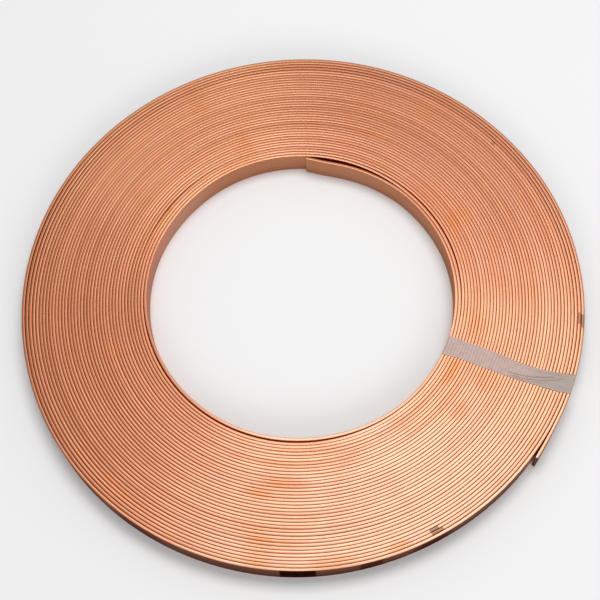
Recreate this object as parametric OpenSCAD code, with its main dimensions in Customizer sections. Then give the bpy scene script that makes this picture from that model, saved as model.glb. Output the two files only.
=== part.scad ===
// Flat coil of bare copper strip: one length of strip wound in a single spiral one strip deep,
// both cut ends free, the turns held together by one band of tape round their section.
// The coil lies flat with its axis along Z, and winds clockwise outwards seen from above.

/* [Strip] */
// Width of the strip, which is the coil's height as it lies flat
strip_w = 25; // [12:0.5:50]
// Thickness of the strip
strip_t = 3; // [1.5:0.25:6]
// Width of the flat that eases each of the strip's four long edges
edge_flat = 0.6; // [0.2:0.05:1.2]

/* [Coil] */
// Bore across the innermost turn, where it lies against the next one
bore_d = 292; // [180:1:450]
// Whole turns that lie against each other, before the last partial one
turns = 39; // [8:1:60]
// Mean slack from one turn to the next, which the turned solid fills
turn_slack = 0.04; // [0:0.04:0.2]
// Arc of the last, partial turn in degrees, from where the inner end lifts to the outer cut end
last_arc = 84; // [60:1:170]
// Direction of the inner cut end from the coil's axis, in degrees anticlockwise from +X
inner_end_angle = 84; // [0:1:359]

/* [Inner end] */
// Arc in degrees over which the inner end has sprung clear of the next turn
inner_free_arc = 42; // [20:1:60]
// Share of that arc before the strip curves back out towards its cut end
inner_turn_back = 0.72; // [0.55:0.01:0.85]
// Gap between the inner end and the turn round it, where the strip curves back
inner_gap = 3.2; // [1:0.1:6]
// Gap left at the inner cut end itself
inner_tip_gap = 0.5; // [0.3:0.1:3]

/* [Outer end] */
// Arc in degrees over which the outer end stands clear of the coil
outer_free_arc = 13; // [5:0.5:20]
// Gap between the coil and the outer cut end
outer_gap = 2.2; // [0.5:0.1:8]

/* [Tape] */
// Width of the tape
tape_w = 19; // [10:1:25]
// Thickness of the tape as it is wrapped
tape_t = 0.25; // [0.1:0.05:1]
// Length along the rim from the tape's edge to where the outer end lifts off the coil
tape_margin = 3; // [1:0.5:10]
// Air between the tape and the copper
tape_clear = 0.05; // [0.02:0.01:0.3]

/* [Hidden] */
$fn = 180;
copper = "#c98f6b";
tape_grey = "#b9a9a2";
edge = min(edge_flat, 0.4 * strip_t);
// Turns lie face to face, so the spiral grows by one thickness and the slack a turn
pitch = strip_t + turn_slack;
// Half turns run alternately about two centres half a pitch apart, so each runs on into the next
// with no step, and about either centre the radius grows by one pitch a turn
near_centre = [-pitch / 4, 0];
far_centre = [pitch / 4, 0];
near_bore = bore_d / 2;
far_bore = near_bore + pitch / 2;
rim = near_bore + (turns + 1) * pitch;
// Arc of the last turn that lies on the coil, up to where the outer end lifts off
seated_arc = last_arc - outer_free_arc;
// A free end is rooted this far back in its own turn, and starts with this much air behind it
root = 2;
root_gap = 0.05;

function direction(a) = [cos(a), sin(a)];
function degrees(radians) = radians * 180 / PI;

// Section of a number of strips on edge, side by side from x = 0. Each long edge is eased by a
// flat, so two neighbours leave a groove between them on the top and on the underside.
module section(count) {
    underside = concat(
        [
            for (k = [0 : count - 1], p = [[0, edge], [edge, 0], [pitch - edge, 0]])
                [k * pitch, 0] + p
        ],
        [[count * pitch, edge]]
    );
    upper = [
        for (i = [len(underside) - 1 : -1 : 0])
            [underside[i].x, strip_w - underside[i].y]
    ];
    polygon(concat(underside, upper));
}

// Part turns lying against each other about one centre, anticlockwise from one direction
module wound(centre, radius, count, from, arc) {
    translate(centre) rotate_extrude(angle = arc, start = from)
        translate([radius, 0]) section(count);
}

// A free end is bent strip whose guide face, the one beside the coil, follows arcs. A curvature
// is one over the radius of that face, positive where it bends the same way as the coil. Radii
// and sweeps are taken to the hundredth, so that one arc starts exactly where another ends.
function hundredth(x) = round(100 * x) / 100;
function bend_radius(curve) = hundredth(1 / abs(curve));
function bend_sweep(curve, length) =
    sign(curve) * hundredth(degrees(length / bend_radius(curve)));
// Curvature that takes a face from one gap to another over a length, off a turn's own radius
function curve_between(radius, slope, from_gap, to_gap, length) =
    1 / radius + 2 * (to_gap - from_gap - slope * length) / length ^ 2;
// Where an arc ends that starts at a point, faces one way there and runs anticlockwise
function bend_end(start, facing, curve, length) =
    start + bend_radius(curve) * sign(curve)
        * (direction(facing + bend_sweep(curve, length)) - direction(facing));

// Strip bent to one curvature, whose guide face starts at the origin facing +X. It runs
// anticlockwise (way = 1) or clockwise (way = -1), and the copper lies between two values of x.
module bent(curve, length, way, low_x) {
    radius = bend_radius(curve);
    sweep = abs(bend_sweep(curve, length));
    if (curve > 0)
        translate([-radius, 0])
            rotate_extrude(angle = sweep, start = way > 0 ? 0 : -sweep)
                translate([radius + low_x, 0]) section(1);
    else
        translate([radius, 0])
            rotate_extrude(angle = sweep, start = way > 0 ? 180 - sweep : 180)
                translate([radius - low_x - pitch, 0]) section(1);
}

// The inner end springs inwards off the next turn, then curves back out to its cut end
module inner_end() {
    face = far_bore;
    length = face * inner_free_arc * PI / 180;
    away = inner_turn_back * length + root;
    back = length + root - away;
    in_curve = curve_between(face, 0, root_gap, inner_gap, away);
    turned = (in_curve - 1 / face) * away;
    out_curve = curve_between(face, turned, inner_gap, inner_tip_gap, back);
    from = -degrees(root / face);
    start = far_centre + (face - root_gap) * direction(from);
    middle = bend_end(start, from, in_curve, away);
    translate(middle) rotate([0, 0, from + bend_sweep(in_curve, away)]) {
        bent(in_curve, away, -1, -pitch);
        bent(out_curve, back, 1, -pitch);
    }
}

// The outer end springs outwards off the rim, past the tape
module outer_end() {
    face = near_bore + turns * pitch;
    length = face * outer_free_arc * PI / 180 + root;
    curve = 2 / face - curve_between(face, 0, root_gap, outer_gap, length);
    from = degrees(root / face) - seated_arc;
    translate(near_centre + (face + root_gap) * direction(from)) rotate([0, 0, from])
        bent(curve, length, -1, 0);
}

module copper_strip() {
    color(copper) rotate([0, 0, inner_end_angle - inner_free_arc]) union() {
        wound(near_centre, near_bore, turns, -180, 180);
        wound(far_centre, far_bore, turns, 0, 180);
        wound(near_centre, near_bore + turns * pitch, 1, -seated_arc, seated_arc);
        inner_end();
        outer_end();
    }
}

// The tape goes once round the section: over the coil, down the rim, underneath and up the bore
module tape_band() {
    outside = tape_clear + tape_t;
    half_rim = asin(tape_w / 2 / rim);
    half_bore = asin(tape_w / 2 / (near_bore - outside));
    middle = seated_arc - half_rim - degrees(tape_margin / rim);
    wedge = 2 * half_bore + 2;
    color(tape_grey) rotate([0, 0, inner_end_angle - inner_free_arc]) translate(near_centre)
        rotate([0, 0, -middle]) intersection() {
            rotate_extrude(angle = wedge, start = -wedge / 2) difference() {
                translate([near_bore - outside, -outside])
                    square([rim - near_bore + 2 * outside, strip_w + 2 * outside]);
                translate([near_bore - tape_clear, -tape_clear])
                    square([rim - near_bore + 2 * tape_clear, strip_w + 2 * tape_clear]);
            }
            translate([0, -tape_w / 2, -strip_w])
                cube([2 * rim, tape_w, 3 * strip_w]);
        }
}

copper_strip();
tape_band();
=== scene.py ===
"""Flat coil of bare copper strip, held by one band of tape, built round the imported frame."""

import math
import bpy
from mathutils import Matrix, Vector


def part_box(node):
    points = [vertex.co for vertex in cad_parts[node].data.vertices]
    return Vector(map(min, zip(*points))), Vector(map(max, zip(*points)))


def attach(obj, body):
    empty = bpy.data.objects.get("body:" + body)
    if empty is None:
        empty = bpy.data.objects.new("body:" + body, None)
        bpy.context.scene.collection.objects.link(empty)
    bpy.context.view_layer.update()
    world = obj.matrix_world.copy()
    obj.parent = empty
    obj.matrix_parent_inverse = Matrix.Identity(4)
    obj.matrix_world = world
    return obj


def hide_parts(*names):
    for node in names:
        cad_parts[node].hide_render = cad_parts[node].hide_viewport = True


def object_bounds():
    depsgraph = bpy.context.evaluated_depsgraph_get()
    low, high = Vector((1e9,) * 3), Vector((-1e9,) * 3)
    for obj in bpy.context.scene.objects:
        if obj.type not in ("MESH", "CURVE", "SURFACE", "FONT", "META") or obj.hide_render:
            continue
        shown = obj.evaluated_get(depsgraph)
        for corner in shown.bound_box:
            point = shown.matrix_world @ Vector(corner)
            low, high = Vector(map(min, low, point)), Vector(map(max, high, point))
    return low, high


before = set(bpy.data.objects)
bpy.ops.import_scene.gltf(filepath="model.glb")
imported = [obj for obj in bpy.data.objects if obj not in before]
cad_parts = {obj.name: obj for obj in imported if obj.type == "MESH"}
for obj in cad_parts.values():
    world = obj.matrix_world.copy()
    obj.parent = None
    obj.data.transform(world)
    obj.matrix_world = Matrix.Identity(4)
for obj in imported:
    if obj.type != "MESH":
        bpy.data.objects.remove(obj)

from types import SimpleNamespace

import bpy
import numpy as np
from mathutils import Matrix, Vector

bl_info = {
    "name": "Copper Strip Coil",
    "version": (1, 0, 0),
    "blender": (4, 5, 0),
    "location": "View3D > Sidebar > Coil",
    "description": "Winds a flat coil of bare copper strip and bands it with tape",
    "category": "Add Mesh",
}

CAD_LOW, CAD_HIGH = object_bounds()
COPPER_LOW, COPPER_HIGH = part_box("copper_strip")
MM = 0.001
FULL_TURN = 360.0


# --- What a user can change ---


def number(name, description, default, **options):
    return bpy.props.FloatProperty(name=name, description=description, default=default, **options)


def length(name, description, default):
    return number(name, description, default, unit="LENGTH", precision=5)


def angle(name, description, default):
    return number(name, description, math.radians(default), unit="ROTATION")


def share(name, description, default):
    return number(name, description, default, min=0.0, max=1.0, subtype="FACTOR")


def colour(name, description, default):
    return bpy.props.FloatVectorProperty(
        name=name,
        description=description,
        default=default,
        size=3,
        min=0.0,
        max=1.0,
        subtype="COLOR",
    )


class StripSizes(bpy.types.PropertyGroup):
    """Sizes of the strip and of the way it is wound."""

    height: length("Height", "Height of the coil lying flat", COPPER_HIGH.z - COPPER_LOW.z)
    pitch: length("Pitch", "Step from one turn to the next", 3.04 * MM)
    air: length("Air", "Mean air between two turns", 0.1 * MM)
    bore_radius: length("Bore radius", "From the first half turn's centre to its face", 146 * MM)
    turns: bpy.props.IntProperty(name="Turns", description="Whole turns", default=39)
    last_arc: angle("Last arc", "Arc of the last, partial turn", 83.6)
    lift_angle: angle("Lift-off", "Direction in which the inner free end leaves the winding", 42)
    inner_free: angle("Inner free arc", "Arc over which the inner end stands clear", 42.6)
    outer_free: angle("Outer free arc", "Arc over which the outer end stands clear", 13)
    outer_gap: length("Outer gap", "Gap between the outer cut end and the coil", 1.9 * MM)
    edge_round: length("Edge round", "Radius of the strip's long edges", 0.48 * MM)
    crown: angle("Crown", "Slope of the crowned edge where it meets its rounding", 9)
    stagger: length("Stagger", "Most that one turn stands above the next", 0.22 * MM)
    lean: angle("Lean", "Most that a turn's edge tips across the strip", 2.5)
    tuck: length("Tuck", "How far in the outer turns' lower edge lies under the upper", 1.1 * MM)


class CopperFinish(bpy.types.PropertyGroup):
    """Colours and surface of the bare copper."""

    edge: colour("Edge", "Bright edge of the strip", (0.62, 0.268, 0.128))
    edge_warm: colour("Warm edge", "Edge where the tint is warmer", (0.59, 0.20, 0.060))
    edge_blot: colour("Blotted edge", "Edge in a warm blot", (0.55, 0.165, 0.030))
    # The next three edge colours are painted light: painted shade on the left, painted shade on
    # the back right, and a painted sheen on the front.
    edge_aged: colour("Aged edge", "Edge on the side that has aged most", (0.46, 0.15, 0.056))
    edge_dull: colour("Dull edge", "Edge on the side that is duller", (0.52, 0.205, 0.103))
    edge_pale: colour("Pale edge", "Edge on the side that is cleanest", (0.64, 0.312, 0.182))
    # The groove colour is partly oxide and partly painted shade, darkening the rounding down in
    # the grooves.
    groove: colour("Groove", "Rounding of the edge, down in a groove", (0.52, 0.13, 0.015))
    # Painted glow: the faces between turns are a saturated red, standing in for light reflected
    # down the gaps.
    gap_glow: colour("Deep", "Faces against each other, seen down a gap", (0.75, 0.10, 0.02))
    face: colour("Face", "Rolled face of the bore", (0.50, 0.225, 0.125))
    # The next two face colours are painted light: a painted sheen on the bore away from its back
    # side, stronger on the left.
    face_pale: colour("Pale face", "Rolled face where it is paler", (0.56, 0.325, 0.225))
    face_left_sheen: colour("Clean face", "Rolled face where it is cleanest", (0.68, 0.40, 0.32))
    # The outer wall is partly tarnish and partly painted shade: dark as if reflecting a dark
    # surround, and paler higher up, with painted shade towards the floor.
    wall: colour("Outer wall", "Last turn's outer face, handled and dull", (0.105, 0.041, 0.020))
    wall_pale: colour("Pale outer wall", "Outer face where it is cleaner", (0.185, 0.078, 0.046))
    # The stain colour also serves as painted shade in the outer turns' grooves.
    stain_and_groove_shade: colour("Stain", "Dark oxide stain", (0.014, 0.005, 0.005))
    mark: colour("Mark", "Brown oxide mark on an edge", (0.11, 0.035, 0.014))
    grazing: colour("Grazing", "Tint of a reflection at a low angle", (0.50, 0.28, 0.20))
    film: share("Oil film", "How much of the thin oil film is left on the edge", 1.0)
    cut: colour("Cut", "Sheared face of a cut end", (0.09, 0.04, 0.028))
    edge_roughness: share("Edge roughness", "Roughness of the strip's edge", 0.46)
    face_roughness: share("Face roughness", "Roughness of the rolled face", 0.42)


class TapeSizes(bpy.types.PropertyGroup):
    """Sizes and look of the band of tape."""

    direction: angle("Direction", "Direction of the band from the coil's axis", -26.3)
    film: length("Film", "Thickness of the tape", 0.09 * MM)
    clearance: length("Clearance", "Gap between the tape and the copper", 0.04 * MM)
    wrinkle: length("Wrinkle", "Height of the largest wrinkle", 0.14 * MM)
    tint: colour("Tint", "Colour of the tape", (0.83, 0.635, 0.57))
    thread: colour("Thread", "Colour of the threads in the tape", (0.36, 0.22, 0.19))
    soiled: colour("Soiled", "Colour of the tape where it was handled", (0.46, 0.375, 0.315))
    # The crease colour is painted shade, with some dirt, along the creases.
    crease_shade_and_dirt: colour("Fold", "Colour along a crease", (0.24, 0.12, 0.10))
    opacity: share("Opacity", "How much one face of the tape hides", 0.58)


class StageSettings(bpy.types.PropertyGroup):
    """Floor, light and camera."""

    floor: colour("Floor", "Colour of the floor", (0.93, 0.93, 0.93))
    key_power: number("Key", "Power of the large overhead lamp", 20.3, unit="POWER")
    fill_power: number("Fill", "Power of the lamp in front", 14, unit="POWER")
    sky: number("Sky", "Strength of the plain surround", 0.44)
    distance: length("Camera distance", "From the camera to the coil's middle", 1.1765)
    elevation: angle("Camera elevation", "Height of the camera above the horizon", 65.28)
    roll: angle("Camera roll", "Turn of the camera about its view", -3.84)
    lens: number("Lens", "Focal length", 73.14, unit="CAMERA")


# --- The shape of the winding ---

# Gap between the inner free end and the turn round it: share of the free arc, millimetres.
INNER_GAP = (
    (0.0, 0.0),
    (0.1, 0.25),
    (0.19, 0.75),
    (0.48, 2.0),
    (0.64, 2.75),
    (0.76, 3.1),
    (0.83, 2.9),
    (0.91, 1.9),
    (1.0, 0.35),
)
# How far the winding stands out from an even spiral, in millimetres. A row is one direction, 30
# degrees further round the winding than the row before it, from the lift-off on. A column is
# one of OFF_TURNS.
OFF_TURNS = (0, 3, 8, 14, 20, 26, 31, 35, 37.3, 39.25)
OUT_OF_ROUND = (
    (0.3, 0.55, 0.2, -0.25, -0.75, -1.2, -1.6, -1.9, -1.5, -1.1),
    (1.1, 0.9, 0.55, 0.15, -0.3, -0.7, -1.0, -1.1, -0.8, -0.5),
    (0.2, 0.0, -0.2, -0.5, -0.7, -0.9, -1.1, -1.0, -0.9, -0.6),
    (-0.3, -0.5, -0.7, -0.9, -1.0, -1.1, -1.2, -1.2, -1.1, -0.8),
    (-0.4, -0.6, -0.8, -1.0, -0.8, -0.8, -0.5, -0.5, -0.4, -0.2),
    (0.0, -0.1, -0.3, -0.3, -0.3, -0.3, -0.2, -0.1, -0.1, 0.0),
    (-0.5, -0.5, -0.8, -0.9, -0.9, -1.1, -1.0, -0.7, -0.2, 0.3),
    (-0.9, -0.9, -1.1, -1.4, -1.5, -1.6, -1.8, -1.7, -1.4, -0.8),
    (-0.6, -0.8, -1.0, -1.2, -1.6, -2.0, -2.3, -2.1, -1.3, 0.0),
    (0.8, 0.55, 0.15, -0.35, -0.8, -1.25, -1.6, -1.1, -0.2, 0.2),
    (1.7, 1.5, 1.1, 0.7, 0.2, -0.3, -0.7, -0.8, 0.1, 0.0),
    (0.6, 0.9, 0.6, 0.1, -0.4, -0.88, -1.3, -1.3, -0.5, -0.3),
)
# Gaps between turns, as bands of inner turns that lie further in: middle and half width in
# degrees wound from the lift-off, depth in millimetres, and how many turns.
SLACK_BANDS = (
    (16, 48, 1.05, 2),
    (140, 48, 1.35, 1),
    (190, 44, 0.75, 1),
    (264, 24, 0.65, 4),
)
# Where the outer turns' lower edge is tucked in: middle and half width in degrees wound.
TUCKED = (113, 27)
# Slow noise along the strip, each with its degrees wound from knot to knot and its seed: it
# moves the strip off the spiral, by OFF_NOISE_DEPTH millimetres at most, up or down, and tips it.
OFF_NOISE, HEIGHT_NOISE, LEAN_NOISE = (40, 11), (70, 3), (95, 5)
OFF_NOISE_DEPTH = 0.009
# Rings of points along the strip: the even step, the degrees wound beyond the lift-off and short
# of the outer cut end between which it is kept, and the rings nearer to each end.
EVEN_STEP, EVEN_AFTER, EVEN_BEFORE = 2.25, 9.0, 31
INNER_RINGS, OUTER_RINGS, OUTER_STEP = 68, 22, 1.5
# Points round the section, and the two of its sides that are the strip's rolled faces.
RING = 14
INNER_FACE, OUTER_FACE = 6, 13


def smoothed_table(table, at):
    """Cubic curve through a table's points, without overshoot."""
    x, y = (np.array(column, float) for column in zip(*table))
    step = np.diff(x)
    slope = np.diff(y) / step
    tangent = np.zeros_like(y)
    same = slope[:-1] * slope[1:] > 0
    tangent[1:-1][same] = (2 * slope[:-1] * slope[1:] / (slope[:-1] + slope[1:] + 1e-12))[same]
    tangent[0], tangent[-1] = slope[0], slope[-1]
    i = np.clip(np.searchsorted(x, at, side="right") - 1, 0, len(step) - 1)
    t = (at - x[i]) / step[i]
    h = step[i]
    return (
        (1 + 2 * t) * (1 - t) ** 2 * y[i]
        + t * (1 - t) ** 2 * h * tangent[i]
        + t * t * (3 - 2 * t) * y[i + 1]
        + t * t * (t - 1) * h * tangent[i + 1]
    )


def wander(at, span, seed):
    """Smooth noise from -1 to 1 along a line, with a knot every span."""
    rng = np.random.default_rng(seed)
    place = (at - at.min()) / span
    knots = rng.uniform(-1, 1, int(place.max()) + 4)
    i = place.astype(int)
    t = place - i
    t = t * t * (3 - 2 * t)
    return knots[i] * (1 - t) + knots[i + 1] * t


def bump(at, middle, half):
    """A smooth hump of height 1, nothing beyond half either side of middle."""
    off = np.clip(np.abs(at - middle) / half, 0, 1)
    return (1 - off * off) ** 2


def stand_off(wound):
    """How far the strip stands from an even spiral, in millimetres."""
    curves = np.array([np.interp(wound / FULL_TURN, OFF_TURNS, row) for row in OUT_OF_ROUND])
    place = np.mod(wound, FULL_TURN) * len(curves) / FULL_TURN
    i = place.astype(int)
    t = place - i
    four = ((i + step)[None] % len(curves) for step in (-1, 0, 1, 2))
    a, b, c, d = (np.take_along_axis(curves, row, 0)[0] for row in four)
    off = b + t * ((c - a) + t * ((2 * a - 5 * b + 4 * c - d) + t * (3 * (b - c) + d - a))) / 2
    for middle, half, depth, count in SLACK_BANDS:
        for turn in range(count):
            off -= depth * bump(wound, middle + FULL_TURN * turn, half)
    return off + OFF_NOISE_DEPTH * wander(wound, *OFF_NOISE)


def winding(sizes, wound):
    """The strip's inner face, on the coil's axes, at degrees wound clockwise from the lift-off."""
    turn = np.floor(wound / FULL_TURN)
    near = wound - FULL_TURN * turn < FULL_TURN / 2
    middle = np.where(near, -1, 1) * sizes.pitch / 4
    radius = sizes.bore_radius + np.where(near, 0, sizes.pitch / 2) + sizes.pitch * turn
    free = math.degrees(sizes.inner_free)
    radius = radius - MM * smoothed_table(INNER_GAP, np.clip(-wound / free, 0, 1))
    end = sizes.turns * FULL_TURN + math.degrees(sizes.last_arc)
    outer = np.clip((wound - end) / math.degrees(sizes.outer_free) + 1, 0, 1)
    radius = radius + sizes.outer_gap * outer**3 + MM * stand_off(wound) + sizes.air / 4
    way = np.radians(-wound)
    x, y = middle + radius * np.cos(way), radius * np.sin(way)
    c, s = math.cos(sizes.lift_angle), math.sin(sizes.lift_angle)
    return np.stack([c * x - s * y, s * x + c * y], -1)


def ring_angles(sizes):
    """Degrees wound to each ring of points: close on both free ends, even between them."""
    end = sizes.turns * FULL_TURN + math.degrees(sizes.last_arc)
    free = math.degrees(sizes.inner_free)
    inner = np.linspace(-free, EVEN_AFTER, INNER_RINGS, endpoint=False)
    even = np.arange(EVEN_AFTER, end - EVEN_BEFORE, EVEN_STEP)
    return np.concatenate([inner, even, np.linspace(even[-1] + OUTER_STEP, end, OUTER_RINGS)])


def outward(path):
    """Unit normals of a path in the plane, pointing away from the axis."""
    along = np.gradient(path, axis=0)
    along /= np.linalg.norm(along, axis=1)[:, None]
    normal = np.stack([-along[:, 1], along[:, 0]], -1)
    return normal * np.sign((normal * path).sum(1))[:, None]


def section(sizes):
    """Half of the strip's section, over one long edge, from its outer side to its inner one.

    A row is the offset across, the drop from the crown, the slope of the surface and how near
    the crown it is, from 0 to 1.
    """
    half = (sizes.pitch - sizes.air) / 2
    radius, tilt = sizes.edge_round, sizes.crown
    flat = half - radius + radius * math.sin(tilt)
    rise = flat * math.tan(tilt) / 2
    down = rise + radius * math.cos(tilt)
    middle = (tilt + math.pi / 2) / 2
    across = half - radius + radius * math.sin(middle)
    side = [
        (half, down, math.pi / 2, 0.0),
        (across, down - radius * math.cos(middle), middle, 0.45),
        (flat, rise, tilt, 0.85),
    ]
    other_side = [(-a, b, -c, d) for a, b, c, d in reversed(side)]
    return np.array([*side, (0.0, 0.0, 0.0, 1.0), *other_side])


def level(flat_points):
    """Points or directions in the plane, with a height of 0."""
    return np.concatenate([flat_points, np.zeros((len(flat_points), 1))], 1)


def strip_rings(sizes, wound):
    """Points and normals of the strip, ring by ring, and how near the crown each is."""
    inner = winding(sizes, wound)
    out = level(outward(inner))
    half = (sizes.pitch - sizes.air) / 2
    middle = level(inner) + out * half
    foot = COPPER_LOW.z + sizes.stagger * (0.5 + 0.5 * wander(wound, *HEIGHT_NOISE))
    slope = sizes.lean * wander(wound, *LEAN_NOISE)
    tall = sizes.height - sizes.stagger - abs(half * sizes.lean)
    outermost = np.clip(wound / FULL_TURN / sizes.turns, 0, 1)
    tuck = sizes.tuck * bump(np.mod(wound, FULL_TURN), *TUCKED) * outermost
    points, normals, rims = [], [], []
    for side in (1, -1):
        for across, drop, tilt, rim in section(sizes):
            across, tilt = across * side, tilt * side
            point = middle + out * (across - (side < 0) * tuck)[:, None]
            point[:, 2] = foot + (tall - drop if side > 0 else drop) - slope * (across - half)
            rise = side * math.cos(tilt)
            turned = math.sin(tilt) + slope * rise
            points.append(point)
            normals.append(out * turned[:, None] + np.array([0, 0, rise]))
            rims.append(np.full(len(wound), rim))
    return np.stack(points, 1), np.stack(normals, 1), np.stack(rims, 1)


# --- The bake's map: strip and tape cut into rows ---

# Each zone of the strip's map: lowest place, height of a row, share of it that is used, rows.
ZONES = {
    "upper": (0.004, 0.0092, 0.86, 40),
    "under": (0.376, 0.0070, 0.82, 40),
    "bore": (0.658, 0.036, 0.93, 1),
    "rim": (0.696, 0.036, 0.93, 2),
    "inner": (0.770, 0.0026, 0.8, 40),
    "outer": (0.876, 0.0026, 0.8, 40),
    "ends": (0.982, 0.014, 0.9, 1),
}
# Where a row starts, and its length short of what its last step may run over.
STRIP_ROW_START, STRIP_ROW_LENGTH = 0.002, 0.996 / 1.03
# Places of the two cut ends, and the width of strip that there is room for.
CAP_PLACES, CAP_ROOM = (0.01, 0.4), 3.2 * MM
# The tape's rows: how many, how tall, where one starts, its length, the height of the tape's
# outside in it, and in such heights where its inside starts and ends and the last edge ends.
TAPE_ROWS, TAPE_ROW_HEIGHT = 4, 0.25
TAPE_ROW_START, TAPE_ROW_LENGTH = 0.004, 0.96 / 1.02
TAPE_FACE_HEIGHT, TAPE_INSIDE, TAPE_LAST_EDGE = 0.143, (1.02, 1.6), 1.62


def in_rows(start, finish, count):
    """The row of each step along a run, and where in it the step starts and ends, in rows."""
    width = finish[-1] / count
    row = np.clip((start / width).astype(int), 0, count - 1)
    first = np.full(count, np.inf)
    np.minimum.at(first, row, start)
    return row, (start - first[row]) / width, (finish - first[row]) / width


def zone_rows(zone, start, finish):
    """Left, right, bottom and height on the map of each step, laid in the rows of a zone."""
    low, height, used, count = ZONES[zone]
    row, start, finish = in_rows(start, finish, count)
    left, right = (STRIP_ROW_START + end * STRIP_ROW_LENGTH for end in (start, finish))
    return left, right, low + row * height, height * used


def cell(left, right, low, high):
    """Four corners on the map, in the order that the faces have."""
    left, right, low, high = np.broadcast_arrays(left, right, low, high)
    corners = ((left, low), (left, high), (right, high), (right, low))
    return np.stack([np.stack(corner, -1) for corner in corners], -2)


def strip_map(along, around, bore, rim):
    """The map's places for each corner of each side face, step by step, round the section."""
    start, finish = along[:-1], along[1:]
    places = np.zeros((len(start), RING, 4, 2))
    share_of = (around[: INNER_FACE + 1] - around[0]) / (around[INNER_FACE] - around[0])
    for first, zone in ((0, "upper"), (INNER_FACE + 1, "under")):
        left, right, low, tall = zone_rows(zone, start, finish)
        for k in range(INNER_FACE):
            low_side, high_side = low + tall * share_of[k], low + tall * share_of[k + 1]
            places[:, first + k] = cell(left, right, low_side, high_side)
    faces = ((INNER_FACE, "inner", bore, "bore"), (OUTER_FACE, "outer", rim, "rim"))
    for face, zone, shown, wide in faces:
        left, right, low, tall = zone_rows(zone, start, finish)
        tall = np.full(len(start), tall)
        since = start[shown][0]
        in_view = zone_rows(wide, start[shown] - since, finish[shown] - since)
        left[shown], right[shown], low[shown], tall[shown] = in_view
        places[:, face] = cell(left, right, low, low + tall)
    return places


def cap_map(points, left):
    """Places on the map for one cut end, laid on its side."""
    low, height, used, _ = ZONES["ends"]
    across = np.linalg.norm(points[:, :2] - points[0, :2], axis=1)
    scale = height * used / CAP_ROOM
    return np.stack([left + (points[:, 2] - points[:, 2].min()) * scale, low + across * scale], -1)


def tape_map(run, ring):
    """The map's places for the tape, its inside above its outside in each row."""
    row, start, finish = in_rows(run[:-1], run[1:], TAPE_ROWS)
    left, right = (TAPE_ROW_START + end * TAPE_ROW_LENGTH for end in (start, finish))
    outside = np.linspace(0, 1, ring // 2)
    heights = np.concatenate([outside, np.linspace(*TAPE_INSIDE, ring // 2), [TAPE_LAST_EDGE]])
    low = TAPE_ROW_START + TAPE_ROW_HEIGHT * row[:, None] + TAPE_FACE_HEIGHT * heights
    return cell(left[:, None], right[:, None], low[:, :-1], low[:, 1:])


# --- Mesh helpers ---


def mesh_from(name, points, faces):
    """A smooth mesh from points and a list of faces, each a list of their numbers."""
    mesh = bpy.data.meshes.new(name)
    sizes = np.array([len(f) for f in faces])
    mesh.vertices.add(len(points))
    mesh.vertices.foreach_set("co", np.asarray(points, np.float32).ravel())
    mesh.loops.add(int(sizes.sum()))
    mesh.loops.foreach_set("vertex_index", np.concatenate(faces).astype(np.int32))
    mesh.polygons.add(len(faces))
    mesh.polygons.foreach_set("loop_start", (np.cumsum(sizes) - sizes).astype(np.int32))
    mesh.polygons.foreach_set("use_smooth", np.ones(len(faces), bool))
    mesh.update(calc_edges=True)
    return mesh


def grid_faces(rings, ring, closed):
    """Faces from each ring of points to the next one, and from the last to the first if closed."""
    i = np.arange(rings if closed else rings - 1)[:, None]
    j = np.arange(ring)
    here, ahead, beside = i * ring, (i + 1) % rings * ring, (j + 1) % ring
    return np.stack([here + j, here + beside, ahead + beside, ahead + j], -1).reshape(-1, 4)


def run_of(points):
    """Distance run along a line of points, from 0."""
    return np.concatenate([[0], np.cumsum(np.linalg.norm(np.diff(points, axis=0), axis=1))])


def write_attribute(mesh, name, values, domain="POINT"):
    data = mesh.attributes.new(name, "FLOAT", domain).data
    data.foreach_set("value", np.asarray(values, np.float32).ravel())


def write_map(mesh, name, places):
    layer = mesh.uv_layers.new(name=name, do_init=False)
    layer.uv.foreach_set("vector", np.asarray(places, np.float32).ravel())


def write_side_faces(mesh, name, steps, marked):
    """Writes an attribute that is 1 on the side faces named, where each is shown, and else 0."""
    values = np.zeros((steps, RING))
    for faces, shown in marked:
        values[:, faces] += shown[:, None]
    write_attribute(mesh, name, np.append(values.ravel(), [0, 0]), "FACE")


def show(name, mesh, material):
    """Puts a mesh in the scene as an object of this name and material."""
    piece = bpy.data.objects.new(name, mesh)
    mesh.materials.append(material)
    bpy.context.scene.collection.objects.link(piece)
    return piece


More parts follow.
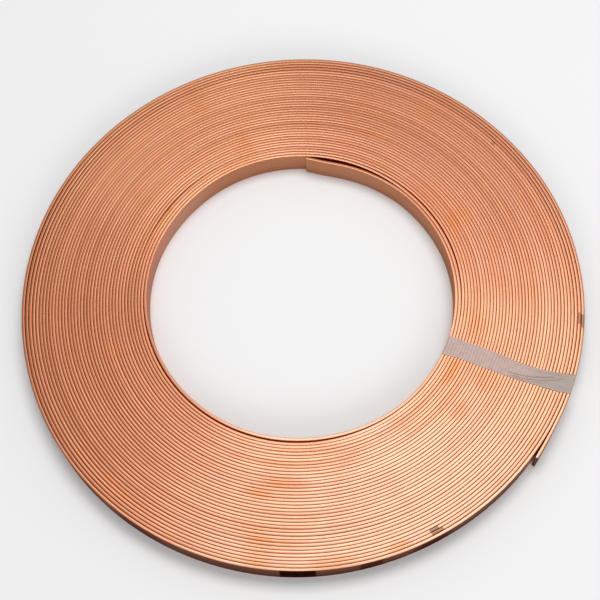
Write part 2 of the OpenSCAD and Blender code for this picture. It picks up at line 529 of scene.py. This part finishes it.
def strip_mesh(sizes):
    """The wound strip, from cut end to cut end, as one closed mesh."""
    wound = ring_angles(sizes)
    points, normals, rims = strip_rings(sizes, wound)
    steps = len(wound) - 1
    quads = grid_faces(len(wound), RING, closed=False)
    caps = [np.arange(RING)[::-1], steps * RING + np.arange(RING)]
    mesh = mesh_from("copper_strip_wound", points.reshape(-1, 3), [*quads, *caps])

    middle = points.mean(1)
    cap_normals = np.array([middle[0] - middle[1], middle[-1] - middle[-2]]).repeat(RING, 0)
    corner_normals = np.concatenate([normals.reshape(-1, 3)[quads.ravel()], cap_normals])
    corner_normals /= np.linalg.norm(corner_normals, axis=1)[:, None]
    mesh.normals_split_custom_set(corner_normals.tolist())

    turned, end = wound[:-1], wound[-1]
    first_turn, last_turn = turned < FULL_TURN, turned >= end - FULL_TURN
    free_end = turned >= end - math.degrees(sizes.outer_free)
    facing_end = ~last_turn & (turned >= end - math.degrees(sizes.outer_free) - FULL_TURN)

    along = run_of(middle)
    around = run_of(np.concatenate([points[0], points[0, :1]]))
    places = strip_map(along, around, first_turn, last_turn).reshape(-1, 2)
    cut_ends = (points[0][::-1], points[-1])
    cap_places = [cap_map(cut, left) for cut, left in zip(cut_ends, CAP_PLACES)]
    write_map(mesh, "OFBake", np.concatenate([places, *cap_places]))
    developed = cell(along[:-1, None], along[1:, None], around[:-1], around[1:]).reshape(-1, 2)
    write_map(mesh, "Strip", np.concatenate([developed, np.zeros((2 * RING, 2))]))
    mesh.uv_layers.active = mesh.uv_layers["Strip"]

    write_attribute(mesh, "turn", (wound / FULL_TURN).repeat(RING))
    write_attribute(mesh, "rim", rims)
    # The outer free end and the face behind it take the bore's colour, not the painted glow of the
    # gaps between turns.
    in_bore = (([INNER_FACE], first_turn | free_end), ([OUTER_FACE], facing_end))
    write_side_faces(mesh, "bore_wall", steps, in_bore)
    write_side_faces(mesh, "outer_wall", steps, (([OUTER_FACE, 0, 1], last_turn),))
    write_attribute(mesh, "cut", np.append(np.zeros(len(quads)), [1, 1]), "FACE")
    return mesh


# --- Shaders ---


class Value:
    """A node's output. Python's operators on one that is a number add Math nodes."""

    def __init__(self, shader, socket):
        self.shader, self.socket = shader, socket

    def __add__(self, other):
        return self.shader.maths("ADD", self, other)

    __radd__ = __add__

    def __sub__(self, other):
        return self.shader.maths("SUBTRACT", self, other)

    def __rsub__(self, other):
        return self.shader.maths("SUBTRACT", other, self)

    def __mul__(self, other):
        return self.shader.maths("MULTIPLY", self, other)

    __rmul__ = __mul__

    def __truediv__(self, other):
        return self.shader.maths("DIVIDE", self, other)

    def __rtruediv__(self, other):
        return self.shader.maths("DIVIDE", other, self)

    def __pow__(self, other):
        return self.shader.maths("POWER", self, other)

    def __gt__(self, other):
        return self.shader.maths("GREATER_THAN", self, other)

    def __lt__(self, other):
        return self.shader.maths("LESS_THAN", self, other)

    def __abs__(self):
        return self.shader.maths("ABSOLUTE", self)

    def clamped(self):
        return self.shader.maths("ADD", self, 0.0, clamp=True)

    def step(self, low, high):
        """0 below low, 1 above high and smooth between them; low may be the larger."""
        t = ((self - low) / (high - low)).clamped()
        return t * t * (3 - 2 * t)


class Shader:
    """A material with one Principled shader, built node by node."""

    def __init__(self, name):
        self.material = bpy.data.materials.new(name)
        self.material.use_nodes = True
        self.tree = self.material.node_tree
        self.surface = next(n for n in self.tree.nodes if n.type == "BSDF_PRINCIPLED")

    def node(self, kind, settings=None, values=None, out=0):
        """Adds a node of this kind, makes its settings, then fills its sockets."""
        made = self.tree.nodes.new(kind)
        for name, setting in (settings or {}).items():
            setattr(made, name, setting)
        for key, value in (values or {}).items():
            self.fill(made.inputs[key], value)
        return Value(self, made.outputs[out])

    def fill(self, socket, value):
        """Puts a link or a constant in a socket."""
        if isinstance(value, Value):
            self.tree.links.new(value.socket, socket)
        else:
            socket.default_value = value

    def set(self, **sockets):
        """Fills the Principled shader's sockets, spaces in their names written as underscores."""
        for name, value in sockets.items():
            self.fill(self.surface.inputs[name.replace("_", " ")], value)

    def maths(self, operation, a, b=0.0, clamp=False):
        settings = {"operation": operation, "use_clamp": clamp}
        return self.node("ShaderNodeMath", settings, {0: a, 1: b})

    def mixed(self, factor, a, b):
        """Colour a, or b where factor is 1."""
        a, b = (c if isinstance(c, Value) else (*c, 1.0) for c in (a, b))
        return self.node("ShaderNodeMix", {"data_type": "RGBA"}, {0: factor, 6: a, 7: b}, 2)

    def vector(self, x, y=0.0, z=0.0):
        return self.node("ShaderNodeCombineXYZ", None, {0: x, 1: y, 2: z})

    def parts(self, vector, count):
        """The first few components of a vector."""
        made = self.node("ShaderNodeSeparateXYZ", None, {0: vector}).socket.node
        return [Value(self, made.outputs[i]) for i in range(count)]

    def place(self):
        return self.node("ShaderNodeTexCoord", None, None, 3)

    def attribute(self, name):
        return self.node("ShaderNodeAttribute", {"attribute_name": name}, None, 2)

    def map_place(self, name):
        return self.node("ShaderNodeUVMap", {"uv_map": name})

    def noise(self, vector, scale, detail=2.0, roughness=0.5, distortion=0.0):
        values = {
            "Vector": vector,
            "Scale": scale,
            "Detail": detail,
            "Roughness": roughness,
            "Distortion": distortion,
        }
        return self.node("ShaderNodeTexNoise", None, values)

    def bumped(self, height, distance, strength):
        values = {"Height": height, "Distance": distance, "Strength": strength}
        return self.node("ShaderNodeBump", None, values)


def total(values):
    """Sum of values coming out of nodes."""
    first, *rest = values
    return sum(rest, first)


# Sides on which the edges carry painted light: painted shade on the back right, a painted sheen on
# the front, and darker, redder painted shade on the left. Each has its direction in degrees, and
# the cosines of the angle away from it at which the tint starts and is full.
PAINTED_LIGHT_SIDES = ((44.0, (0.55, 0.90)), (279.0, (0.60, 1.0)), (198.0, (0.46, 1.08)))
# First of the outer turns whose grooves get more painted shade on the back right side.
SHADED_GROOVE_TURN = 36.4
# Warm blots on the edges: direction in degrees, distance from the axis, half width and half
# length in millimetres, depth of colour.
BLOTS = (
    (-33.5, 162, 5, 17, 0.85),
    (-43.5, 188, 8, 10, 0.8),
    (-87.5, 259, 6, 19, 0.8),
    (23.0, 176, 8, 12, 0.75),
    (-18.2, 168, 10, 18, 0.7),
    (-32.0, 192, 13, 9, 0.65),
    (-97.2, 187, 5, 21, 0.5),
    (-104.5, 200, 6, 14, 0.5),
    (-102.0, 250, 18, 13, 0.5),
    (-74.2, 258, 5, 11, 0.65),
    (22.2, 163, 4, 10, 0.6),
    (-134.0, 251, 5, 36, 0.55),
    (86.0, 257, 4, 50, 0.5),
    (-165.5, 184, 7, 10, 0.5),
    (141.4, 156, 2.5, 3, 0.9),
    (-15.1, 205.3, 1.2, 1.3, 1.6),
    (-44.0, 163, 16, 44, 0.5),
    (-92.0, 163, 16, 50, 0.5),
    (-100.0, 216, 42, 30, 0.4),
    (30.0, 163, 18, 40, 0.35),
    (150.0, 163, 16, 44, 0.3),
)
# Dark oxide marks: direction in degrees, the turn that has it there, half its length in degrees,
# depth of colour.
MARKS = (
    (-10.2, 38.145, 1.3, 0.8),
    (-10.8, 39.145, 1.5, 0.9),
    (-66.6, 36.302, 1.0, 1.0),
    (-66.2, 37.302, 1.3, 1.0),
    (36.4, 35.016, 0.5, 0.5),
)
# Dark patches on the outer wall: direction and half length in degrees, depth of colour, share of
# the half length over which it fades.
WALL_PATCHES = (
    (-94.0, 3.4, 0.95, 0.12),
    (-80.0, 2.2, 0.6, 0.4),
    (-67.5, 3.6, 0.6, 1.2),
    (-148.0, 10.0, 0.25, 1.2),
    (-126.0, 5.0, 0.3, 1.2),
)
# Noise over the strip's own map: scale along the strip and round it, slice of the noise,
# roughness, detail. The first two tint the rolled faces and the others raise the surface.
STREAK = (9.0, 2600.0, 0.0, 0.6, 2.0)
CLOUD = (16.0, 60.0, 4.0, 0.6, 3.0)
GRAIN = (30.0, 5200.0, 0.0, 0.6, 2.0)
DENT = (55.0, 420.0, 7.0, 0.5, 2.0)
GRAIN_HEIGHT = 0.05 * MM


def strip_places(s):
    """What the copper's look goes by: where a point is on the coil and on the strip."""
    place = s.place()
    x, y, z = s.parts(place, 3)
    along, around = s.parts(s.map_place("Strip"), 2)
    names = ("turn", "rim", "cut", "bore_wall", "outer_wall")
    at = SimpleNamespace(**{name: s.attribute(name) for name in names})
    at.place, at.x, at.y, at.z, at.along, at.around = place, x, y, z, along, around
    at.direction, at.out = s.maths("ARCTAN2", y, x), (x * x + y * y) ** 0.5
    # Painted shade and painted sheen by side of the coil.
    at.dull, at.pale, at.aged = (on_side(at, *side) for side in PAINTED_LIGHT_SIDES)
    # One turn differs from the next, slowly along its length.
    at.by_turn = s.noise(s.vector(at.turn * 6.0, 3.1), 1.0, 1.0)
    at.blotch = s.noise(place, 17.0, 3.0, 0.55, 0.6)
    return at


def on_side(at, side, span):
    """How far a point of the coil lies on one side of it, from 0 to 1."""
    side = math.radians(side)
    return ((at.x * math.cos(side) + at.y * math.sin(side)) / at.out).step(*span)


def away_from(at, side, half):
    """Angle between a point's direction and a given one, 1 at half degrees."""
    return abs(at.direction - math.radians(side)) / math.radians(half)


def strip_noise(s, at, kind):
    along, around, part, roughness, detail = kind
    return s.noise(s.vector(at.along * along, at.around * around, part), 1.0, detail, roughness)


def edge_colour(s, at, finish):
    """The strip's edges: painted shade on the back right and on the left, a painted sheen on the
    front, and warmer by turn and in blots.
    """
    stretch = s.noise(s.vector(at.along * 7.0, at.turn * 2.3, 9.0), 1.0, 2.0)
    warm = at.blotch.step(0.53, 0.72) * 0.35 + at.by_turn.step(0.45, 0.75) * 0.5
    warm = warm + stretch.step(0.52, 0.75) * 0.4
    spreads = []
    for side, out, wide, long, depth in BLOTS:
        off = (at.out - out * MM) / (wide * MM)
        turned = (at.direction - math.radians(side)) * (out / long)
        spreads.append((off * off + turned * turned).step(2.0, 0.0) * depth)
    blot = total(spreads) * (0.4 + at.by_turn.step(0.35, 0.65) * 0.6)
    tint = s.mixed(at.pale, finish.edge, finish.edge_pale)
    tint = s.mixed(at.dull, tint, finish.edge_dull)
    tint = s.mixed((warm * (1 - at.pale * 0.5)).clamped(), tint, finish.edge_warm)
    tint = s.mixed(at.aged, tint, finish.edge_aged)
    return s.mixed(blot.clamped(), tint, finish.edge_blot)


def face_colour(s, at, finish, bore_radius):
    """The rolled faces: fine streaks along the strip, over slow patches of brown, with a painted
    sheen on the bore by side, a painted glow down the gaps and painted shade on the outer wall
    towards the floor.
    """
    cloud = strip_noise(s, at, CLOUD)
    streaked = strip_noise(s, at, STREAK) * 0.35 + cloud * 0.6 - 0.3
    # Painted sheen: the bore's face is paler away from its back side, with random streaks, and
    # paler still on the left.
    rolled = (streaked + (1 - at.y / bore_radius) * 1.3).clamped()
    painted_lighter = (at.x / -bore_radius).step(0.4, 1.0)
    bore = s.mixed(painted_lighter, s.mixed(rolled, finish.face, finish.face_pale), finish.face_left_sheen)
    # Painted shade: the outer wall darkens towards the floor, with random clouds.
    high = (at.z / COPPER_HIGH.z).step(0.05, 0.95)
    wall = s.mixed((high + cloud * 0.4 - 0.25).clamped(), finish.wall, finish.wall_pale)
    return s.mixed(at.outer_wall, s.mixed(at.bore_wall, finish.gap_glow, bore), wall)


def oxide(s, at):
    """Depth of the dark marks on the edges, and of the dark patches on the outer wall."""
    marks = []
    for side, turn, half, depth in MARKS:
        there = away_from(at, side, half).step(1.1, 0.88)
        marks.append((abs(at.turn - turn) < 0.5) * there * depth)
    broken = (1 - at.rim.step(0.6, 0.95) * 0.5) * s.noise(at.place, 160.0, 2.0).step(0.15, 0.4)
    patches = []
    for side, half, depth, fade in WALL_PATCHES:
        there = away_from(at, side, half).step(1 + fade / 2, 1 - fade / 2)
        patches.append(there * at.outer_wall * depth)
    return total(marks) * broken, total(patches)


def copper_material(finish, bore_radius):
    """Bare copper: bright crowned edges, brown rolled faces and dark oxide, with painted shade in
    the grooves and on the outer wall, a painted glow down the gaps, and painted shade and sheen by
    side.
    """
    s = Shader("bare_copper")
    at = strip_places(s)
    face, edge = face_colour(s, at, finish, bore_radius), edge_colour(s, at, finish)
    tint = s.mixed(at.rim.step(0.02, 0.72) * (1 - at.outer_wall * 0.75), face, edge)
    # Painted shade, with some oxide and dirt, down in the grooves between turns.
    groove_oxide_and_shade = (at.rim > 0.004) * at.rim.step(0.5, 0.05) * (1 - at.outer_wall)
    dirt_and_shade = s.noise(s.vector(at.turn * 5.0, at.along * 1.5, 5.0), 1.0, 1.0).step(0.35, 0.68)
    tint = s.mixed(groove_oxide_and_shade * (0.5 + dirt_and_shade * 0.5), tint, finish.groove)
    # More painted shade in the outer turns' grooves on the back right side, in the stain colour.
    extra_groove_shade = groove_oxide_and_shade * at.dull * (at.turn > SHADED_GROOVE_TURN) * 0.75
    tint = s.mixed(extra_groove_shade, tint, finish.stain_and_groove_shade)
    marked, patched = oxide(s, at)
    dark = (marked + patched).clamped()
    tint = s.mixed(marked.clamped(), tint, finish.mark)
    tint = s.mixed(patched.clamped(), tint, finish.stain_and_groove_shade)
    tint = s.mixed(at.cut, tint, finish.cut)

    rough = (finish.edge_roughness - finish.face_roughness) * at.rim.step(0.1, 0.8)
    rough = finish.face_roughness + rough + (at.blotch - 0.5) * 0.12 + (at.by_turn - 0.5) * 0.1
    rough = rough + dark * 0.2 + at.cut * 0.15
    raised = strip_noise(s, at, GRAIN) * 0.6 + strip_noise(s, at, DENT) * 0.8
    # Painted glow down the gaps: the faces between turns are half non-metal and a saturated red,
    # so the gaps are a dark red and not black.
    between = (1 - at.bore_wall - at.outer_wall) * (at.rim < 0.3)
    metal = 1 - at.outer_wall * (1 - dark) * 0.35 - at.cut * 0.2 - between * 0.5
    filmed = at.rim.step(0.45, 0.9) * (1 - dark) * finish.film
    s.set(Base_Color=tint, Metallic=metal.clamped(), Roughness=rough.clamped())
    s.set(Normal=s.bumped(raised, GRAIN_HEIGHT, 0.6))
    s.set(Specular_Tint=(*finish.grazing, 1.0), Specular_IOR_Level=0.12)
    s.set(Coat_Weight=filmed, Coat_Roughness=0.22, Coat_IOR=1.5)
    return s.material


# --- The band of tape ---

# Edges of the tape on the coil's upper side: distance out from the axis, then how far its left
# and its right edge lie to the left of the band's direction, all in millimetres.
TAPE_EDGES = (
    (147, 10.3, -9.4),
    (162, 10.6, -8.2),
    (178, 10.6, -8.0),
    (192, 10.2, -7.9),
    (206, 9.6, -7.7),
    (217, 9.0, -7.5),
    (226, 9.5, -7.0),
    (235, 10.2, -6.4),
    (244, 11.4, -5.8),
    (253, 13.4, -5.1),
    (267, 17.3, -2.6),
)
# Creases on the upper side: where one starts and ends along the band, how far left of its
# direction it starts and how far it moves over, all in millimetres, the power it moves over by
# and its depth.
CREASES = (
    (202, 252, -3.4, 13.4, 2.4, 1.0),
    (207, 260, -5.6, 16.0, 2.1, 1.0),
    (210, 244, -6.6, 5.6, 2.2, 0.7),
    (220, 264, 5.6, 8.0, 1.5, 0.6),
    (228, 262, 1.2, 10.0, 1.4, 0.5),
    (246, 266, -3.6, 3.0, 1.0, 0.35),
    (214, 268, 8.8, 8.0, 1.6, 0.6),
    (146, 166, -1.5, 9.5, 0.6, 0.35),
)
# A crease's ridge lies this far beside its dark line and is this wide, in millimetres.
RIDGE_OFF, RIDGE_WIDTH = 0.5, 0.6
# Half width of a crease's dark line, and of its core.
CREASE_LINE = (0.7 * MM, 0.1 * MM)
# Spacing of the threads that run along the tape, and of the lines across it, which are partly
# threads and partly painted shade copying the grooves seen through the tape.
THREADS_ALONG, THREADS_AND_GROOVE_SHADE_ACROSS = 2.2 * MM, 2.9 * MM
# Distances from the axis between which the soiling comes up, and between which it ends.
SOILED_FROM, SOILED_TO = (212 * MM, 248 * MM), (300 * MM, 290 * MM)
# Steps between stations on the tape's upper side, rim side, underside and bore side.
TAPE_STEPS = (0.8 * MM, 2 * MM, 3 * MM, 2 * MM)
# Run of the step that closes the loop, as the tape's maps have it.
CLOSING_STEP = 1 * MM
# Faces across the tape, the radius of its corners and the steps round each.
TAPE_COLUMNS, CORNER, CORNER_STEPS = 40, 0.8 * MM, 4
# Above this height the tape's edges follow TAPE_EDGES.
UPPER_PART = 10 * MM
# Mean height of the tape's fine rucks, and the seed of their noise.
RUCK, RUCK_SEED = 0.012 * MM, 21
THREAD_HEIGHT = 0.04 * MM


def threads(s, run, spacing):
    """Threads this far apart, 0.5 along the middle of each."""
    return s.maths("COSINE", run * (2 * math.pi / spacing)).step(0.1, 1.0) * 0.5


def film_material(tape, start):
    """Milky tape with fine threads both ways, soiled towards the rim, and with painted shade and
    dirt along its creases.

    The band's own map runs from start, in metres from the axis, out over the upper side.
    """
    s = Shader("clear_tape")
    developed = s.map_place("Band")
    along, across = s.parts(developed, 2)
    out = along + start
    soiled = out.step(*SOILED_FROM) * out.step(*SOILED_TO)
    woven = threads(s, across, THREADS_ALONG) + threads(s, along, THREADS_AND_GROOVE_SHADE_ACROSS)
    woven = woven * (1 - soiled * 0.35)
    milk = s.noise(developed, 190.0, 3.0, 0.6)
    wisp = s.noise(s.vector(along * 60.0, across * 800.0, 3.0), 1.0, 2.0).step(0.35, 0.65)
    # Painted shade and dirt along the creases.
    crease_shade_and_dirt = 0.0
    for low, high, left, rise, power, depth in CREASES:
        t = ((out - low * MM) / ((high - low) * MM)).clamped()
        ridge = (t**power * rise + left) * MM
        line = abs(across - ridge).step(*CREASE_LINE) * (t * (1 - t) * 4).step(0.0, 0.6)
        crease_shade_and_dirt = s.maths("MAXIMUM", crease_shade_and_dirt, line * depth)
    crease_shade_and_dirt = crease_shade_and_dirt * (out < SOILED_TO[1])
    tint = s.mixed((woven * 0.62 + milk.step(0.35, 0.7) * 0.25).clamped(), tape.tint, tape.thread)
    tint = s.mixed(soiled * (0.6 + wisp * 0.4), tint, tape.soiled)
    tint = s.mixed(crease_shade_and_dirt * 0.85, tint, tape.crease_shade_and_dirt)
    hide = tape.opacity + (milk - 0.5) * 0.2 + woven * 0.06 + soiled * 0.15 + crease_shade_and_dirt * 0.2
    normal = s.bumped(woven * 0.5 + s.noise(developed, 900.0, 2.0), THREAD_HEIGHT, 0.7)
    s.set(Base_Color=tint, Metallic=0.0, Roughness=0.42, Alpha=hide.clamped(), Normal=normal)
    return s.material


def tape_loop(low, high):
    """Closed loop round the coil's section, its corners rounded.

    A row is the place out from the axis, the height, and the outward direction's two parts.
    """
    (u0, z0), (u1, z1) = low, high
    u2, u3, z2, z3 = u0 + CORNER, u1 - CORNER, z0 + CORNER, z1 - CORNER
    sides = (
        ((u2, z1), (u3, z1), (0, 1)),
        ((u1, z3), (u1, z2), (1, 0)),
        ((u3, z0), (u2, z0), (0, -1)),
        ((u0, z2), (u0, z3), (-1, 0)),
    )
    out = []
    for (start, finish, (nx, nz)), step in zip(sides, TAPE_STEPS):
        count = int(math.dist(start, finish) / step)
        for t in np.arange(count) / count:
            u, z = (a + (b - a) * t for a, b in zip(start, finish))
            out.append((u, z, nx, nz))
        for k in range(CORNER_STEPS):
            w = math.atan2(nz, nx) - math.pi / 2 * k / CORNER_STEPS
            c, s = math.cos(w), math.sin(w)
            out.append((finish[0] + CORNER * (c - nx), finish[1] + CORNER * (s - nz), c, s))
    return np.array(out)


def crease_height(u, v):
    """Height of the tape's creases at places along and across it, from 0 to 1."""
    height = np.zeros(np.broadcast(u, v).shape)
    for start, finish, left, rise, power, tall in CREASES:
        t = np.clip((u / MM - start) / (finish - start), 0, 1)
        off = (v / MM - left - rise * t**power - RIDGE_OFF) / RIDGE_WIDTH
        height += tall * bump(t, 0.5, 0.5) * np.exp(-(off**2))
    return np.clip(height, 0, 1)


def radius_at(sizes, direction, outer):
    """Distance from the axis to the coil's inner or outer face in directions in radians."""
    wound = np.mod(np.degrees(sizes.lift_angle - direction), FULL_TURN)
    strip = sizes.pitch - sizes.air
    last = sizes.turns * FULL_TURN * outer
    return np.linalg.norm(winding(sizes, wound + last), axis=-1) + strip * outer


def tape_edges(loop, inner, outer):
    """Left and right edge of the tape at each station of its loop, in metres."""
    table = np.array(TAPE_EDGES, float)
    place = np.clip((loop[:, 0] - inner) / (outer - inner), 0, 1)
    at = table[0, 0] + place * (table[-1, 0] - table[0, 0])
    edges = []
    for side in (1, 2):
        above = smoothed_table(table[:, [0, side]], at)
        below = table[0, side] + (table[-1, side] - table[0, side]) * place
        edges.append(MM * np.where(loop[:, 1] > UPPER_PART, above, below))
    return edges


def tape_surfaces(tape, sizes):
    """Points on both faces of the tape, station by station, its run, and their places across."""
    inner, outer = (radius_at(sizes, np.array([tape.direction]), side)[0] for side in (0, 1))
    gap = tape.clearance
    low = (inner - gap, COPPER_LOW.z - gap)
    high = (outer + gap, COPPER_LOW.z + sizes.height + gap)
    loop = tape_loop(low, high)
    left, right = tape_edges(loop, inner, outer)
    w = np.linspace(0, 1, TAPE_COLUMNS + 1)
    v = left[:, None] + (right - left)[:, None] * w
    u = loop[:, :1] + 0 * v
    place = np.clip((u - low[0]) / (high[0] - low[0]), 0, 1)
    bore_off = np.sqrt(radius_at(sizes, tape.direction + v / inner, 0) ** 2 - v**2) - inner
    rim_off = np.sqrt(radius_at(sizes, tape.direction + v / outer, 1) ** 2 - v**2) - outer
    u = u + bore_off * (1 - place) + rim_off * place
    above = (loop[:, 1:2] > sizes.height / 2) * (loop[:, 3:4] > 0.5)
    crease = tape.wrinkle * crease_height(u, v) * above
    ruck = wander(np.arange(float(v.size)), 1.0, RUCK_SEED).reshape(v.shape)
    crease = crease + RUCK * (1 + ruck) * above
    c, s = math.cos(tape.direction), math.sin(tape.direction)
    faces = []
    for height in (tape.film, 0.0):
        rise = height + crease
        uu, zz = u + loop[:, 2:3] * rise, loop[:, 1:2] + loop[:, 3:4] * rise
        faces.append(np.stack([c * uu - s * v, s * uu + c * v, zz], -1))
    return faces, run_of(loop[:, :2]), v


def tape_mesh(tape, sizes):
    """The tape as a thin closed shell round the coil's section."""
    (outside, inside), run, v = tape_surfaces(tape, sizes)
    points = np.concatenate([outside, inside[:, ::-1]], 1)
    stations, ring = points.shape[:2]
    quads = grid_faces(stations, ring, closed=True)
    mesh = mesh_from("tape_band_film", points.reshape(-1, 3), [*quads])
    run = np.append(run, run[-1] + CLOSING_STEP)
    near = np.concatenate([v, v[:, ::-1]], 1)
    far = np.roll(near, -1, 0)
    start, finish = (np.broadcast_to(end[:, None], near.shape) for end in (run[:-1], run[1:]))
    corners = (
        (start, near),
        (start, np.roll(near, -1, 1)),
        (finish, np.roll(far, -1, 1)),
        (finish, far),
    )
    band = np.stack([np.stack(corner, -1) for corner in corners], 2)
    write_map(mesh, "Band", band.reshape(-1, 2))
    write_map(mesh, "OFBake", tape_map(run, ring).reshape(-1, 2))
    return mesh


# --- The stage ---

FLOOR_REACH, FLOOR_ROUGHNESS, FLOOR_MOTTLE = 6.0, 0.8, 0.04
# Each lamp: name, place, what it points at, width and height in metres, its power's setting.
LAMPS = (
    ("overhead", (0.25, 0.45, 2.0), (0.25, 0.0, 0.0), 1.3, 0.9, "key_power"),
    ("front", (0.3, -2.0, 1.3), (0.0, 0.0, 0.0), 2.4, 1.0, "fill_power"),
)
SENSOR_WIDTH, LENS_SHIFT, FAR_CLIP = 36.0, (-0.0018, 0.0041), 50


def floor_material(tint):
    """Pale matt floor with a faint mottle."""
    s = Shader("floor")
    mottle = s.noise(s.place(), 6.0, 3.0)
    tint = s.mixed(mottle * FLOOR_MOTTLE, tint, (1.0, 1.0, 1.0))
    s.set(Base_Color=tint, Roughness=FLOOR_ROUGHNESS)
    return s.material


def lay_floor(settings):
    """A wide plain floor in the plane that the coil rests on."""
    around = ((-1, -1), (1, -1), (1, 1), (-1, 1))
    corners = [(x * FLOOR_REACH, y * FLOOR_REACH, CAD_LOW.z) for x, y in around]
    mesh = mesh_from("floor", corners, [[0, 1, 2, 3]])
    show("floor", mesh, floor_material(settings.floor))


def hang_lamps(settings):
    """Soft lamps and an even surround."""
    for name, place, target, wide, high, power in LAMPS:
        light = bpy.data.lights.new(name, "AREA")
        light.shape, light.size, light.size_y = "RECTANGLE", wide, high
        light.energy = getattr(settings, power)
        lamp = bpy.data.objects.new(name, light)
        lamp.location = place
        way = Vector(target) - Vector(place)
        lamp.rotation_euler = way.to_track_quat("-Z", "Y").to_euler()
        bpy.context.scene.collection.objects.link(lamp)
    world = bpy.data.worlds.new("surround")
    world.use_nodes = True
    background = next(n for n in world.node_tree.nodes if n.type == "BACKGROUND")
    background.inputs["Color"].default_value = (1.0, 1.0, 1.0, 1.0)
    background.inputs["Strength"].default_value = settings.sky
    bpy.context.scene.world = world


def set_camera(scene, settings):
    """A camera over the coil's near side, turned a little about its view."""
    away = Vector((0, -math.cos(settings.elevation), math.sin(settings.elevation)))
    right = Vector((1, 0, 0))
    rolled = math.cos(settings.roll) * right + math.sin(settings.roll) * away.cross(right)
    data = bpy.data.cameras.new("camera")
    data.lens, data.sensor_width = settings.lens, SENSOR_WIDTH
    data.shift_x, data.shift_y = LENS_SHIFT
    data.clip_end = FAR_CLIP
    camera = bpy.data.objects.new("camera", data)
    axes = Matrix((rolled, away.cross(rolled), away)).transposed().to_4x4()
    axes.translation = away * settings.distance
    camera.matrix_world = axes
    scene.collection.objects.link(camera)
    scene.camera = camera
    scene.view_settings.view_transform = "Standard"


# --- Operators and panel ---


class COIL_OT_copper_strip(bpy.types.Operator):
    """Winds the copper strip, one length from cut end to cut end"""

    bl_idname = "coil.copper_strip"
    bl_label = "Copper strip"

    def execute(self, context):
        sizes = context.scene.coil_strip
        copper = copper_material(context.scene.coil_copper, sizes.bore_radius)
        piece = show("copper_strip_wound", strip_mesh(sizes), copper)
        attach(piece, "root")
        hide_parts("copper_strip")
        return {"FINISHED"}


class COIL_OT_tape_band(bpy.types.Operator):
    """Bands the coil with one strip of tape round its section"""

    bl_idname = "coil.tape_band"
    bl_label = "Tape band"

    def execute(self, context):
        sizes, tape = context.scene.coil_strip, context.scene.coil_tape
        film = film_material(tape, sizes.bore_radius + CORNER)
        piece = show("tape_band_film", tape_mesh(tape, sizes), film)
        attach(piece, "root")
        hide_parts("tape_band")
        return {"FINISHED"}


class COIL_OT_stage(bpy.types.Operator):
    """Lays the floor, hangs the lamps and sets the camera"""

    bl_idname = "coil.stage"
    bl_label = "Stage"

    def execute(self, context):
        settings = context.scene.coil_stage
        lay_floor(settings)
        hang_lamps(settings)
        set_camera(context.scene, settings)
        return {"FINISHED"}


class COIL_PT_coil(bpy.types.Panel):
    """Lists the coil's pieces and their sizes"""

    bl_label = "Copper Strip Coil"
    bl_idname = "COIL_PT_coil"
    bl_space_type = "VIEW_3D"
    bl_region_type = "UI"
    bl_category = "Coil"

    def draw(self, context):
        scene = context.scene
        for operator, group in STEPS:
            box = self.layout.box()
            box.operator(operator)
            for prop in group:
                settings = getattr(scene, prop)
                for name in settings.bl_rna.properties.keys():
                    if name not in ("rna_type", "name"):
                        box.prop(settings, name)


GROUPS = {
    "coil_strip": StripSizes,
    "coil_copper": CopperFinish,
    "coil_tape": TapeSizes,
    "coil_stage": StageSettings,
}
STEPS = (
    ("coil.copper_strip", ("coil_strip", "coil_copper")),
    ("coil.tape_band", ("coil_tape",)),
    ("coil.stage", ("coil_stage",)),
)
OPERATORS = (COIL_OT_copper_strip, COIL_OT_tape_band, COIL_OT_stage)
CLASSES = (*GROUPS.values(), *OPERATORS, COIL_PT_coil)


def register():
    for cls in CLASSES:
        bpy.utils.register_class(cls)
    for name, group in GROUPS.items():
        setattr(bpy.types.Scene, name, bpy.props.PointerProperty(type=group))


def unregister():
    for name in GROUPS:
        delattr(bpy.types.Scene, name)
    for cls in reversed(CLASSES):
        bpy.utils.unregister_class(cls)


def main():
    """Builds every piece and the stage."""
    register()
    bpy.ops.coil.copper_strip()
    bpy.ops.coil.tape_band()
    bpy.ops.coil.stage()


if __name__ == "__main__":
    main()
